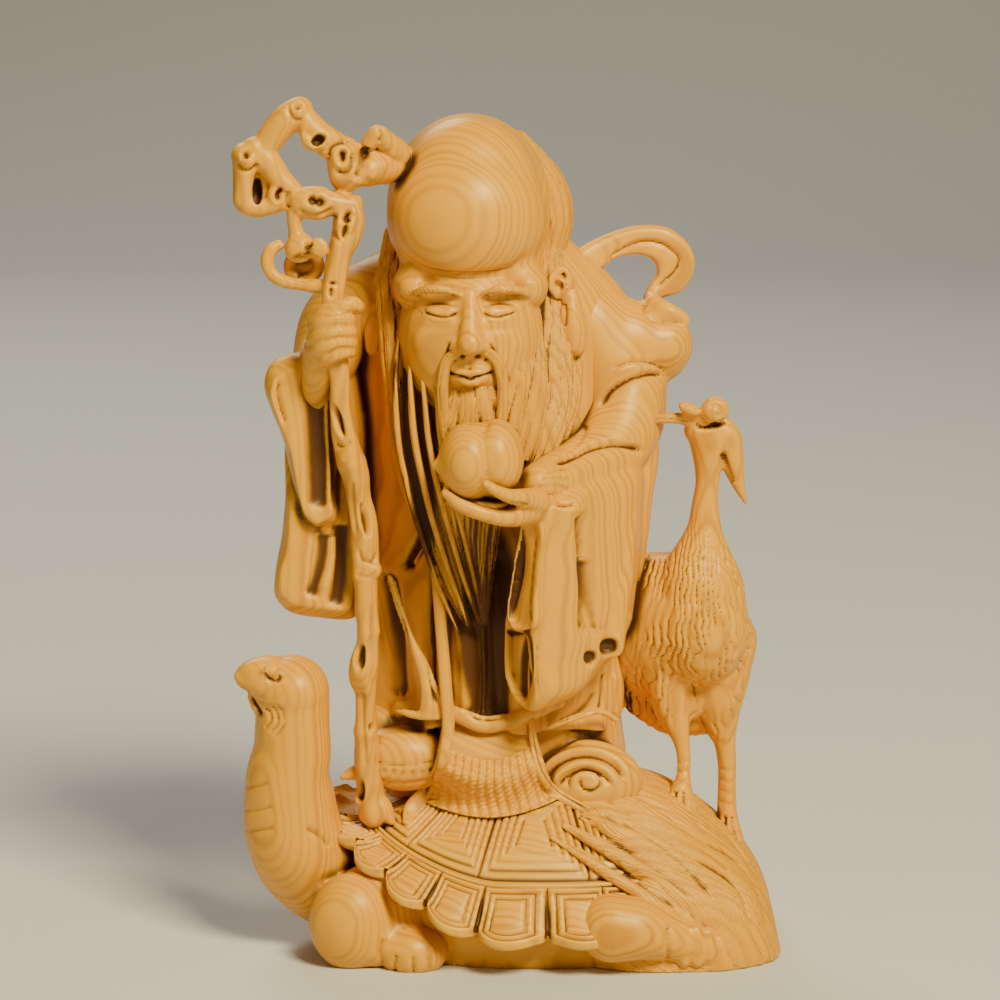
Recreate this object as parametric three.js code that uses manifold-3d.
// A carved boxwood figure of the god of long life, standing on a turtle, with a staff, a peach and a crane.
// One block of wood, so one closed solid. Millimetres, +Z up, the viewer looks along +Y.
// The origin is on the flat underside, under the middle of the carving.
import * as THREE from "three";
import { mergeVertices } from "three/addons/utils/BufferGeometryUtils.js";
import Module from "manifold-3d";

const wasm = await Module();
wasm.setup();

// Driving dimensions
const TURTLE_LENGTH = 95; // from beak to the end of the tail
const FIGURE_HEIGHT = 112; // from the top of the shell to the crown
const CRANE_HEIGHT = 74; // from its feet to the top of its head
const STAFF_DIAMETER = 4.2; // the shaft at its middle
const FINIAL_HEIGHT = 32; // the knotted root on top of the staff
const PEACH_DIAMETER = 15.5;
const SLEEVE_WALL = 1.5; // thickness of the carved cloth at a cuff
const SLEEVE_DEPTH = 9; // how far a cuff is hollowed
const SHELL_LENGTH = 75;
const SHELL_WIDTH = 64;
const SHELL_TOP = 35;
const RIM_LOW = 5; // underside of the shell's rim, along the flank
const RIM_HIGH = 20; // and over the neck
const RIM_WALL = 2.2;
const SCUTES = 17; // round the rim
const SCUTE_REACH = 1.1; // how far each scallop stands out of the outline
const BASE_HEIGHT = 6; // the plain block under the shell
const STANCE_DEPTH = 4; // how far feet and the foot of the staff run into the shell

// The carver's grid: each creature is laid out in parts of its own height or length.
const TURTLE_PARTS = 95;
const FIGURE_PARTS = 112;
const CRANE_PARTS = 74;
const FINIAL_PARTS = 32;

const Y = new THREE.Vector3(0, 1, 0);
const UP = new THREE.Vector3(0, 0, 1);

// A grid turns places counted in its own parts into points in millimetres.
function grid(origin, part) {
  const place = ([x, y, z]) => new THREE.Vector3(x, y, z).multiplyScalar(part).add(origin);
  return { place, part };
}

const smooth = (low, high, value) => THREE.MathUtils.smoothstep(value, low, high);
const mix = THREE.MathUtils.lerp;

// Solids

// A closed geometry as a solid that can be joined and cut.
function solid(geometry) {
  const bare = geometry.clone();
  bare.deleteAttribute("normal");
  bare.deleteAttribute("uv");
  const merged = mergeVertices(bare, 1e-4);
  return new wasm.Manifold(
    new wasm.Mesh({
      numProp: 3,
      vertProperties: new Float32Array(merged.attributes.position.array),
      triVerts: new Uint32Array(merged.index.array),
    }),
  );
}

const join = (pieces) => pieces.reduce((whole, piece) => whole.add(piece));

// A skin over rings of points, closed by a fan at each end, whichever way round the rings run.
function skin(rings) {
  const count = rings[0].length;
  const points = rings.flat();
  const faces = [];
  for (let r = 0; r + 1 < rings.length; r++) {
    for (let i = 0; i < count; i++) {
      const a = r * count + i;
      const b = r * count + ((i + 1) % count);
      faces.push(a, b, b + count, a, b + count, a + count);
    }
  }
  [0, rings.length - 1].forEach((r) => {
    const centre = points.length;
    const middle = rings[r].reduce((sum, p) => sum.add(p), new THREE.Vector3()).divideScalar(count);
    points.push(middle);
    for (let i = 0; i < count; i++) {
      const a = r * count + i;
      const b = r * count + ((i + 1) % count);
      faces.push(...(r === 0 ? [b, a, centre] : [a, b, centre]));
    }
  });
  const geometry = new THREE.BufferGeometry().setFromPoints(points);
  geometry.setIndex(faces);
  const made = solid(geometry);
  return made.volume() > 0 ? made : solid(geometry.setIndex(faces.reverse()));
}

// A round limb along a smooth path. Each stop is [point, radius], `flat` squeezes the section along `side`,
// and `flute` moves every second edge out and the others in.
function limb(stops, { sides = 8, flat = 1, side = Y, flute = 0 } = {}) {
  const curve = new THREE.CatmullRomCurve3(stops.map(([point]) => point), false, "centripetal");
  const rings = [];
  for (let i = 0; i < stops.length; i++) {
    const [centre, radius] = stops[i];
    const ahead = curve.getTangent(i / (stops.length - 1));
    const across = new THREE.Vector3().crossVectors(side, ahead).normalize();
    const out = new THREE.Vector3().crossVectors(ahead, across).normalize();
    const ring = [];
    for (let k = 0; k < sides; k++) {
      const turn = (2 * Math.PI * k) / sides;
      const reach = radius * (k % 2 ? 1 + flute : 1 - flute);
      ring.push(
        centre
          .clone()
          .addScaledVector(across, reach * Math.cos(turn))
          .addScaledVector(out, reach * flat * Math.sin(turn)),
      );
    }
    rings.push(ring);
  }
  return skin(rings);
}

// An ellipsoid with its own half-sizes, turned by Euler angles in degrees.
function egg(centre, halves, { turn = [0, 0, 0], across = 8, up = 5 } = {}) {
  const geometry = new THREE.SphereGeometry(1, across, up).rotateX(Math.PI / 2);
  geometry.scale(...halves);
  const [x, y, z] = turn.map(THREE.MathUtils.degToRad);
  geometry.applyMatrix4(new THREE.Matrix4().makeRotationFromEuler(new THREE.Euler(x, y, z)));
  return solid(geometry.translate(centre.x, centre.y, centre.z));
}

// Level rings round a moving centre, each [height, x, y, half width, half depth], folded by `fold(turn, t)`.
function drapery(place, part, levels, sides, fold) {
  return skin(
    levels.map(([z, x, y, halfWidth, halfDepth], level) => {
      const ring = [];
      for (let k = 0; k < sides; k++) {
        const turn = (2 * Math.PI * k) / sides;
        const out = 1 + fold(turn, level / (levels.length - 1));
        ring.push(place([x + halfWidth * out * Math.cos(turn), y + halfDepth * out * Math.sin(turn), z]));
      }
      return ring;
    }),
  );
}

// Turtle

const turtle = grid(new THREE.Vector3(0, 0, 0), TURTLE_LENGTH / TURTLE_PARTS);
const shellCentre = turtle.place([6, -0.5, 0]);

// Height of the rim's underside: level along the flank, lifted over the neck at -X.
function rimHeight(x) {
  const towardsNeck = (shellCentre.x - x - 0.2 * SHELL_LENGTH * 0.5) / (0.8 * SHELL_LENGTH * 0.5);
  return mix(RIM_LOW, RIM_HIGH, Math.max(0, towardsNeck) ** 1.5);
}

// A point on the dome, from the share of the way out to the rim and the turn round it.
function shellPoint(share, turn, lift = 0) {
  const x = shellCentre.x + share * (SHELL_LENGTH / 2) * Math.cos(turn);
  const y = shellCentre.y + share * (SHELL_WIDTH / 2) * Math.sin(turn);
  const rim = rimHeight(x) + RIM_WALL;
  const z = rim + (SHELL_TOP - rim) * Math.max(0, 1 - share * share) ** 1.15;
  return new THREE.Vector3(x, y, z + lift);
}

// The dome's height over a place in plan.
function shellHeight(x, y) {
  const across = (x - shellCentre.x) / (SHELL_LENGTH / 2);
  const along = (y - shellCentre.y) / (SHELL_WIDTH / 2);
  const share = Math.hypot(across, along);
  return shellPoint(share, Math.atan2(along, across)).z;
}

function shell() {
  const sides = SCUTES * 3;
  const step = RIM_WALL * 0.4;
  const ring = (share, lift, scallop) => {
    const points = [];
    for (let k = 0; k < sides; k++) {
      const turn = (2 * Math.PI * k) / sides;
      const bow = Math.abs(Math.sin((turn * SCUTES) / 2)) ** 0.6;
      const reach = 1 + (scallop * SCUTE_REACH * (2 * bow - 1)) / (SHELL_LENGTH / 2);
      points.push(shellPoint(share, turn, lift).sub(shellCentre).multiply(
        new THREE.Vector3(reach, reach, 1),
      ).add(shellCentre));
    }
    return points;
  };
  return skin([
    ring(0.86, -RIM_WALL * 2.4, 0),
    ring(1, -RIM_WALL, 1),
    ring(1, 0, 1),
    ring(0.84, 0, 0),
    ring(0.82, step, 0),
    ring(0.5, step, 0),
  ]);
}

// The flank under the rim, on the flat block that the carving stands on.
function turtleTrunk() {
  const ring = (share, z) => {
    const points = [];
    const sides = 14;
    for (let k = 0; k < sides; k++) {
      const turn = (2 * Math.PI * k) / sides;
      const at = shellPoint(share, turn);
      points.push(new THREE.Vector3(at.x, at.y, z(at.x)));
    }
    return points;
  };
  return skin([
    ring(0.92, () => 0),
    ring(0.92, () => BASE_HEIGHT * 0.5),
    ring(0.86, () => BASE_HEIGHT),
    ring(0.84, (x) => Math.max(BASE_HEIGHT + 1, rimHeight(x) + RIM_WALL)),
  ]);
}

// An egg given in the turtle's own parts.
const turtleEgg = (centre, halves, options) =>
  egg(turtle.place(centre), halves.map((n) => n * turtle.part), options);

function turtleNeck() {
  const path = [
    [[-14, -3, 12], 11],
    [[-25, -8, 15.5], 10.5],
    [[-33.4, -11.7, 20], 9.3],
    [[-36.8, -13.2, 29], 7.6],
    [[-37.2, -13.8, 39], 6.6],
    [[-39, -14.8, 47], 6.4],
  ];
  const stops = path.map(([p, r]) => [turtle.place(p), r * turtle.part]);
  const neck = limb(stops, { sides: 9, flat: 0.92 });
  const head = turtleEgg([-39, -14.6, 45.6], [8.2, 6.4, 6.9], { turn: [0, 14, 22], across: 9, up: 6 });
  const beak = turtleEgg([-43.2, -16.6, 47.6], [3.8, 3.6, 3.1], { turn: [0, 20, 24], across: 6, up: 4 });
  const jaw = turtleEgg([-41.2, -15.8, 40.8], [3.6, 3.4, 2.2], { turn: [0, -38, 22], across: 6, up: 4 });
  const mouth = turtleEgg([-45.4, -17.5, 43], [4.2, 3.8, 1.1], { turn: [0, -32, 22], across: 6, up: 4 });
  return join([neck, head, beak, jaw]).subtract(mouth);
}

// A leg is a rounded thigh and a foot with toes, cut flat where it stands.
function turtleLeg(thigh, thighHalves, foot, footHalves, heading) {
  const toes = [-1, 0, 1].map((n) => {
    const turn = THREE.MathUtils.degToRad(heading + n * 24);
    const reach = footHalves[0] * 0.82;
    const at = [foot[0] + reach * Math.cos(turn), foot[1] + reach * Math.sin(turn), footHalves[2] * 0.4];
    return turtleEgg(at, [2.9, 1.9, 2.2], { turn: [0, 0, heading + n * 24], across: 5, up: 3 });
  });
  return join([
    turtleEgg(thigh, thighHalves),
    turtleEgg(foot, footHalves, { turn: [0, 0, heading], across: 7, up: 4 }),
    ...toes,
  ]);
}

// The long-haired tail: a fan of hair over the rear of the shell, down to the ground. Each row is
// [x, y of its middle, half width, height].
function tailHair() {
  const rows = [
    [8, -5, 8, 33],
    [16, -5, 17, 33.6],
    [24, -5, 23.5, 31],
    [32, -5, 26.4, 26.4],
    [39, -5, 26, 20.6],
    [44, -5, 24, 14],
    [47, -5, 21, 7.4],
    [48.2, -5, 18, 1],
  ];
  const arc = 11;
  return skin(
    rows.map(([x, y, halfWidth, height], row) => {
      const ring = [];
      for (let k = 0; k < arc; k++) {
        const across = Math.cos((Math.PI * k) / (arc - 1));
        const lock = k % 2 ? 1.03 : 0.97;
        const rise = Math.max(0, 1 - Math.abs(across) ** 2.4) ** 0.55;
        ring.push(turtle.place([x, y + halfWidth * across, height * rise * lock]));
      }
      ring.push(turtle.place([x, y - halfWidth * 0.6, -2]), turtle.place([x, y + halfWidth * 0.6, -2]));
      return ring;
    }),
  );
}

// Figure

const figure = grid(
  new THREE.Vector3(0, 0, SHELL_TOP - (2 * FIGURE_HEIGHT) / FIGURE_PARTS),
  FIGURE_HEIGHT / FIGURE_PARTS,
);
const f = (n) => n * figure.part;

function robe() {
  const levels = [
    [-4, 2, 1.5, 18, 12],
    [5.4, 2, 0.8, 23, 15.4],
    [16, 2, 1, 22, 15],
    [36, 1.2, 2, 20.6, 14.4],
    [60, 0, 3.4, 20.6, 13.4],
    [74, 0, 4, 22.6, 13],
    [82, -0.6, 4, 21.4, 12],
    [92, -3, 1, 10, 8],
  ];
  const fold = (turn, t) => {
    const hem = 1 - smooth(0.2, 0.75, t);
    return 0.055 * hem * Math.sin(8 * turn + 2.5 * t) + 0.02 * Math.sin(5 * turn + 4 * t);
  };
  return drapery(figure.place, figure.part, levels, 24, fold);
}

function shoes() {
  return join([
    egg(figure.place([-16.5, -13.5, -2]), [6, 8, 6.4].map(f), { turn: [0, 0, 8], across: 7, up: 4 }),
    egg(figure.place([15.6, -13.5, -2.6]), [7.8, 8.4, 7.6].map(f), { turn: [0, 0, -8], across: 7, up: 4 }),
  ]);
}

// The patterned apron that hangs between the two ties and spreads on the shell.
function apron() {
  const rows = [
    [6, -11, 8],
    [1, -15.5, 9],
    [-4, -19.5, 10],
    [-9, -22.5, 9.5],
  ];
  return skin(
    rows.map(([z, y, halfWidth]) => {
      const ring = [];
      const sides = 8;
      for (let k = 0; k < sides; k++) {
        const turn = (2 * Math.PI * k) / sides;
        ring.push(figure.place([1.5 + halfWidth * Math.cos(turn), y + 2.4 * Math.sin(turn), z]));
      }
      return ring.reverse();
    }),
  );
}

// The two ends of the sash, which fall down the front and lie on the shell.
function sashEnds() {
  const end = (points, radius) =>
    limb(points.map((p) => [figure.place(p), f(radius)]), { sides: 5, flat: 0.6 });
  return join([
    end([[-10.6, -11, 33], [-9.4, -16.2, 3], [-12.6, -20.6, -4.4], [-15.2, -22.4, -9.6]], 1.7),
    end([[4.6, -13, 20], [5, -15.6, 4], [9.4, -20.4, -3.6], [15.6, -21.4, -9]], 1.6),
  ]);
}

// A sleeve hangs from the forearm as a flattened bag. Each section is [x, y, top, bottom, half width], and
// `facing` is the direction in plan, in degrees, that the cuff looks in.
function bag(sections, facing, inset, sides = 10) {
  const turnOut = THREE.MathUtils.degToRad(facing);
  const across = new THREE.Vector3(-Math.sin(turnOut), Math.cos(turnOut), 0);
  return skin(
    sections.map(([x, y, top, bottom, halfWidth]) => {
      const ring = [];
      const middle = figure.place([x, y, (top + bottom) / 2]);
      for (let k = 0; k < sides; k++) {
        const turn = (2 * Math.PI * k) / sides;
        const width = (f(halfWidth) - inset) * Math.sign(Math.cos(turn)) * Math.abs(Math.cos(turn)) ** 0.7;
        const height = (f((top - bottom) / 2) - inset) * Math.sin(turn);
        ring.push(middle.clone().addScaledVector(across, width).addScaledVector(UP, height));
      }
      return ring;
    }),
  );
}

// A hollow cuff: the bag, less the same bag one wall thinner, started outside the cuff and ended inside.
function hollowSleeve(sections, facing) {
  const turnOut = THREE.MathUtils.degToRad(facing);
  const [x, y, top, bottom, halfWidth] = sections[0];
  const along = [Math.cos(turnOut) / figure.part, Math.sin(turnOut) / figure.part];
  const slide = (distance) => [x + along[0] * distance, y + along[1] * distance, top, bottom, halfWidth];
  const hollow = bag([slide(SLEEVE_WALL), slide(-SLEEVE_DEPTH)], facing, SLEEVE_WALL);
  return bag(sections, facing, 0).subtract(hollow);
}

// The arm that carries the staff, raised, with its cuff open to the front.
function staffArm() {
  const outer = hollowSleeve([
    [-33.6, -17, 74, 24.6, 6.8],
    [-33.2, -7, 77, 26, 7],
    [-27.6, 3, 79, 36, 7],
    [-19, 9, 80, 44, 6],
  ], -92);
  const inner = hollowSleeve([
    [-34, -17.6, 73, 41.4, 4.4],
    [-31.6, -5, 74, 46, 5],
  ], -92);
  const upper = limb([
    [figure.place([-14, 5, 79]), f(9)],
    [figure.place([-23, 4.4, 77]), f(8.6)],
    [figure.place([-29.2, -1, 70]), f(6.6)],
    [figure.place([-31.2, -15, 71]), f(3.8)],
  ]);
  return join([outer, inner, upper]);
}

// The arm that holds the peach, with its cuff open towards the staff.
function peachArm() {
  const outer = hollowSleeve([
    [4.6, -24.6, 54, 11.6, 4.9],
    [10.6, -20, 54.8, 10.4, 6],
    [19, -10, 58, 20, 6.6],
    [21, 4, 62, 34, 5.6],
  ], -142);
  const inner = hollowSleeve([
    [2.4, -22.2, 50, 23.4, 3.2],
    [11, -14.6, 53, 29, 4],
  ], -142);
  const upper = limb([
    [figure.place([12, 5, 80]), f(9.4)],
    [figure.place([19.4, 3, 73]), f(9)],
    [figure.place([19.4, -2, 60]), f(7.6)],
    [figure.place([6.4, -24.2, 50]), f(4)],
  ]);
  return join([outer, inner, upper]);
}

// The knotted scarf end that flies up behind the shoulder.
function scarf() {
  const loop = [
    [[9, 4, 84], 3.4],
    [[18.6, 5, 88.8], 3],
    [[27, 5.4, 89], 2.8],
    [[31.4, 6, 84], 2.6],
    [[28, 6, 77.6], 2.6],
    [[24, 5, 71], 3.4],
  ];
  return join([
    limb(loop.map(([p, r]) => [figure.place(p), f(r)]), { sides: 6, flat: 1.5 }),
    egg(figure.place([25.2, 4.4, 69.6]), [6.6, 5, 6.4].map(f), { turn: [0, 30, 0], across: 7, up: 4 }),
  ]);
}

const headCentre = [-4.2, -4.6, 94];

function head() {
  const part = ([x, y, z], halves, options) =>
    egg(figure.place([headCentre[0] + x, headCentre[1] + y, headCentre[2] + z]), halves.map(f), options);
  return join([
    part([0.2, 0.6, 1], [16, 15.6, 17], { across: 12, up: 8 }), // skull
    part([-0.8, -7.4, 1.8], [13, 12.4, 13.2], { across: 14, up: 9 }), // forehead
    part([2.4, 5, -6], [14.8, 13, 19], { across: 9 }), // hair
    part([-1.2, -7.4, -17], [11.8, 11, 13.4], { across: 10, up: 7 }), // face
    part([-1.4, -14.2, -10.8], [9.6, 4.4, 2.4], { up: 4 }), // ridge of the brows
    part([-1.4, -18, -15.4], [2.4, 2.8, 4], { turn: [-18, 0, 0], across: 6, up: 4 }), // nose
    ...[-1, 1].map((side) =>
      part([0.6 + side * 13.6, -1.6, -16], [2.6, 3.2, 7.6], { turn: [0, 0, side * 20], across: 6, up: 4 }),
    ), // ears
  ]);
}

// Hair and beard are bundles of locks: fluted limbs that taper to a point.
function locks(points, width, { sides = 10, flat = 0.8 } = {}) {
  const last = points.length - 1;
  const stops = points.map((p, i) => [figure.place(p), f(width * mix(1, 0.25, (i / last) ** 2))]);
  return limb(stops, { sides, flat, flute: 0.09 });
}

function beard() {
  return locks([
    [-5.6, -16.6, 73],
    [-6, -17.8, 60],
    [-7.4, -16, 46],
    [-7.4, -15, 36],
    [-6.4, -16.6, 23],
  ], 8.2, { sides: 14, flat: 0.66 });
}

function sideHair() {
  const left = locks([
    [-16.4, -11, 87],
    [-16.8, -14.4, 70],
    [-14, -15, 50],
    [-8.6, -14.4, 29],
  ], 4.2);
  const right = locks([
    [9, -11.6, 84],
    [10.4, -12.4, 66],
    [9.4, -13.4, 50],
  ], 5);
  const moustache = [-1, 1].map((side) =>
    locks([
      [-5.6 + 1.4 * side, -21, 73],
      [-5.6 + 6.4 * side, -20.6, 69],
      [-5.6 + 8 * side, -20, 52],
    ], 1.8, { sides: 4 }),
  );
  return join([left, right, ...moustache]);
}

// Hands and peach

const staffGrip = figure.place([-29.2, -21.6, 75]);

function staffHand() {
  const at = (x, y, z) => staffGrip.clone().add(new THREE.Vector3(f(x), f(y), f(z)));
  const palm = egg(at(-1.6, 1.4, -0.6), [4, 4.2, 5.2].map(f), { turn: [0, 12, 0], up: 4 });
  const wrist = limb([[at(-1.8, 8, -6), f(3.6)], [at(-1, 1.6, -1), f(3)]], { sides: 6 });
  const fingers = [0, 1, 2, 3].map((i) => {
    const z = 2.9 - 2.15 * i;
    const knuckles = [
      [at(-3.6, -1, z - 0.3), f(1.5)],
      [at(-0.6, -3.8, z), f(1.5)],
      [at(3.4, -1.8, z + 0.3), f(1.2)],
    ];
    return limb(knuckles, { sides: 4 });
  });
  const thumb = limb([[at(-1.6, -1, 4), f(1.6)], [at(4, -1.4, 5.4), f(1.4)]], { sides: 5 });
  return join([palm, wrist, ...fingers, thumb]);
}

const peachCentre = figure.place([-3.8, -29, 56]);

function peach() {
  const r = PEACH_DIAMETER / 2;
  const at = (x, y, z) => peachCentre.clone().add(new THREE.Vector3(x * r, y * r, z * r));
  return join([
    egg(at(-0.16, 0, -0.04), [0.98 * r, 0.9 * r, 0.94 * r], { across: 10, up: 7 }),
    egg(at(0.42, -0.02, 0.06), [0.74 * r, 0.86 * r, 0.86 * r], { across: 8, up: 6 }),
    limb([
      [at(-0.5, 0, 0), 0.66 * r],
      [at(-0.96, 0, -0.08), 0.32 * r],
      [at(-1.2, 0, -0.12), 0.08 * r],
    ], { sides: 6 }),
  ]);
}

function peachHand() {
  const under = peachCentre.clone().add(new THREE.Vector3(0, 0, -PEACH_DIAMETER * 0.46));
  const at = (x, y, z) => under.clone().add(new THREE.Vector3(f(x), f(y), f(z)));
  const palm = egg(at(3.6, 0.4, -1), [7.4, 5, 3].map(f), { turn: [0, -16, 0], up: 4 });
  const wrist = limb([[at(13, 8, -2), f(4.6)], [at(6, 1.4, -0.6), f(3.4)]], { sides: 6 });
  const fingers = [0, 1, 2, 3].map((i) => {
    const y = -3.2 + 2.1 * i;
    const knuckles = [
      [at(1, y, -1.2), f(1.7)],
      [at(-5.6, y, -0.8), f(1.5)],
      [at(-8.6, y, 2.6), f(1)],
    ];
    return limb(knuckles, { sides: 4 });
  });
  const thumb = limb([[at(7.4, -3.2, 0), f(2.2)], [at(2, -6, 3.6), f(1.5)]], { sides: 5 });
  return join([palm, wrist, ...fingers, thumb]);
}

// Staff

function staff() {
  const r = STAFF_DIAMETER / 2;
  const foot = turtle.place([-23.4, -12.6, 0]);
  const ground = shellHeight(foot.x, foot.y);
  foot.z = ground - STANCE_DEPTH;
  const rise = (share, out, forward) =>
    foot.clone().lerp(staffGrip, share).add(new THREE.Vector3(f(out), f(forward), 0));
  const shaft = limb([
    [foot, r * 1.5],
    [rise(0.12, 0.4, -1), r * 1.25],
    [rise(0.3, 1.6, -1.8), r],
    [rise(0.38, 1, -2), r * 1.35],
    [rise(0.56, 2.4, -1.8), r],
    [rise(0.8, 1.6, -0.8), r * 1.05],
    [staffGrip, r * 0.9],
    [finial.place([0, 0.6, -7]), r],
    [finial.place([0, 0, 0]), r * 1.25],
  ], { sides: 8 });
  return join([shaft, ...finialRoots()]);
}

const finial = grid(
  staffGrip.clone().add(new THREE.Vector3(f(2.2), f(1.6), f(18.4))),
  FINIAL_HEIGHT / FINIAL_PARTS,
);

// The root is a loop of stout stems and knots, as a grown root has. Each stem is a list of [x, y, z, radius].
function finialRoots() {
  const stem = (list) =>
    limb(list.map(([x, y, z, r]) => [finial.place([x, y, z]), finial.part * r]), { sides: 6 });
  return [
    stem([
      [0, 0, -2.4, 3],
      [-1.4, 0, 1.4, 3.6],
      [-7.5, 0, 2.2, 3],
      [-12.4, 0.3, 7, 2.9],
      [-13.2, 0.5, 12, 3.3],
      [-9, 0.4, 17, 3.3],
    ]),
    stem([
      [-13.4, 0.2, 9.6, 2.6],
      [-17.6, -0.2, 8.4, 3.4],
      [-18, 0, 3.4, 2.9],
      [-14.8, 0.4, 0.4, 2.8],
      [-9, 0.4, 1.6, 2.6],
    ]),
    stem([
      [-9.4, 0.4, 15, 3],
      [-3.6, 0.2, 11.6, 3],
      [0, -0.6, 7.6, 4.2],
      [10.4, 2.4, 6.2, 3.2],
    ]),
    stem([[7.4, 1, 7, 2.8], [5.2, 0.8, 13, 2]]),
    stem([[-8.7, 0, 2, 2.2], [-8.8, 0.2, -3, 2.2], [-7.4, 0.2, -8.4, 3.8], [-2.6, 0, -9, 2.4]]),
    stem([[-13.4, 0.8, -7.4, 2], [-12.6, 0.8, -11, 2.6], [-3.4, 0.4, -10.6, 2.6]]),
  ];
}

// Crane

const craneStand = turtle.place([35, -4, 0]);
const crane = grid(
  new THREE.Vector3(craneStand.x, craneStand.y, SHELL_TOP * 0.54),
  CRANE_HEIGHT / CRANE_PARTS,
);

function craneBird() {
  const bird = (stops, options) =>
    limb(stops.map(([p, r]) => [crane.place(p), crane.part * r]), options);
  const body = bird([ // from the breast to the tail
    [[7.6, -4, 34], 2.4],
    [[5, -2.4, 35], 9.4],
    [[-1.6, 3.4, 36.6], 12.2],
    [[-10, 10, 37.4], 11.6],
    [[-20, 18, 35], 8.4],
    [[-30, 25, 30], 4.6],
    [[-37, 29, 25], 1.2],
  ], { sides: 9, flat: 1.16, side: UP });
  const neck = bird([
    [[-1, 0, 43], 8.4],
    [[-0.6, -0.8, 50], 5],
    [[0, -1, 58], 3.4],
    [[0.8, -0.6, 69], 3.6],
  ]);
  const skullTop = egg(crane.place([1, -0.6, 70.4]), [4.7, 4.2, 4].map((n) => n * crane.part), { across: 7 });
  const crest = bird([
    [[3.4, 0.6, 71], 2.6],
    [[5.4, 1.2, 65], 2.2],
    [[6.9, 1.6, 58], 0.5],
  ], { sides: 5, flat: 0.6 });
  const beak = bird([
    [[-0.6, -1.6, 71], 1.8],
    [[-4.4, -1.4, 72], 0.9],
    [[-13, 1, 71.6], 0.8],
  ], { sides: 4 });
  const cap = (centre, halves) =>
    egg(crane.place(centre), halves.map((n) => n * crane.part), { across: 6, up: 4 });
  const sprig = [cap([1.2, -4, 74], [2.9, 1.8, 2.5]), cap([-3.2, -3.6, 73.4], [2.9, 1.5, 1.6])];
  return join([body, neck, skullTop, crest, beak, ...sprig, ...craneLegs(bird)]);
}

// Each leg ends on the hair and shell under it, whatever their height.
function craneLegs(bird) {
  const sole = (x, y) => {
    const at = crane.place([x, y, 0]);
    const height = Math.max(shellHeight(at.x, at.y), SHELL_TOP * 0.4);
    return (height - STANCE_DEPTH - crane.place([0, 0, 0]).z) / crane.part;
  };
  return [
    bird([
      [[-4.6, 0.6, 31], 6.6],
      [[-4.6, -0.4, 23.4], 3],
      [[-4, -1.8, 13], 1.5],
      [[-3.4, -3.4, 4.4], 1.9],
      [[-3, -4, sole(-3, -4)], 3],
    ], { sides: 6 }),
    bird([
      [[3.6, 2, 31], 6.6],
      [[4, 3, 21], 3.4],
      [[4.2, 3.4, 12], 1.9],
      [[4, 3, sole(4, 3)], 2.6],
    ], { sides: 6 }),
  ];
}

// Assembly

function carving() {
  const whole = join([
    shell(),
    turtleTrunk(),
    turtleNeck(),
    turtleLeg([-22.6, -24.5, 10], [9.4, 7.6, 11], [-18.4, -30, 3.4], [6.6, 5.4, 4], -58),
    turtleLeg([17.8, -31, 7.4], [7, 5.6, 7.6], [27, -30.4, 3.8], [8.8, 5, 5], -8),
    turtleLeg([-21, 23.5, 10], [9.4, 7.6, 11], [-18, 29, 3.4], [6.6, 5.4, 4], 62),
    turtleLeg([19, 28, 7.4], [7, 5.6, 7.6], [26, 28.6, 3.8], [8.8, 5, 5], 14),
    tailHair(),
    robe(),
    shoes(),
    apron(),
    sashEnds(),
    staffArm(),
    peachArm(),
    scarf(),
    head(),
    beard(),
    sideHair(),
    staffHand(),
    peach(),
    peachHand(),
    staff(),
    craneBird(),
  ]);
  // The underside is sawn flat.
  const reach = 4 * Math.max(TURTLE_LENGTH, SHELL_LENGTH);
  const ground = new THREE.BoxGeometry(reach, reach, reach).translate(0, 0, -reach / 2);
  return whole.subtract(solid(ground));
}

function meshOf(made, name, material) {
  const { vertProperties, triVerts, numProp, numVert } = made.getMesh();
  const positions = new Float32Array(numVert * 3);
  for (let i = 0; i < numVert; i++) {
    positions.set(vertProperties.subarray(i * numProp, i * numProp + 3), i * 3);
  }
  const geometry = new THREE.BufferGeometry();
  geometry.setAttribute("position", new THREE.BufferAttribute(positions, 3));
  geometry.setIndex(new THREE.BufferAttribute(triVerts, 1));
  geometry.computeVertexNormals();
  const mesh = new THREE.Mesh(geometry, material);
  mesh.name = name;
  return mesh;
}

const boxwood = new THREE.MeshStandardMaterial({ color: 0xdcae68, roughness: 0.45, metalness: 0 });

const part = new THREE.Group();
part.add(meshOf(carving(), "carving", boxwood));

export default part;
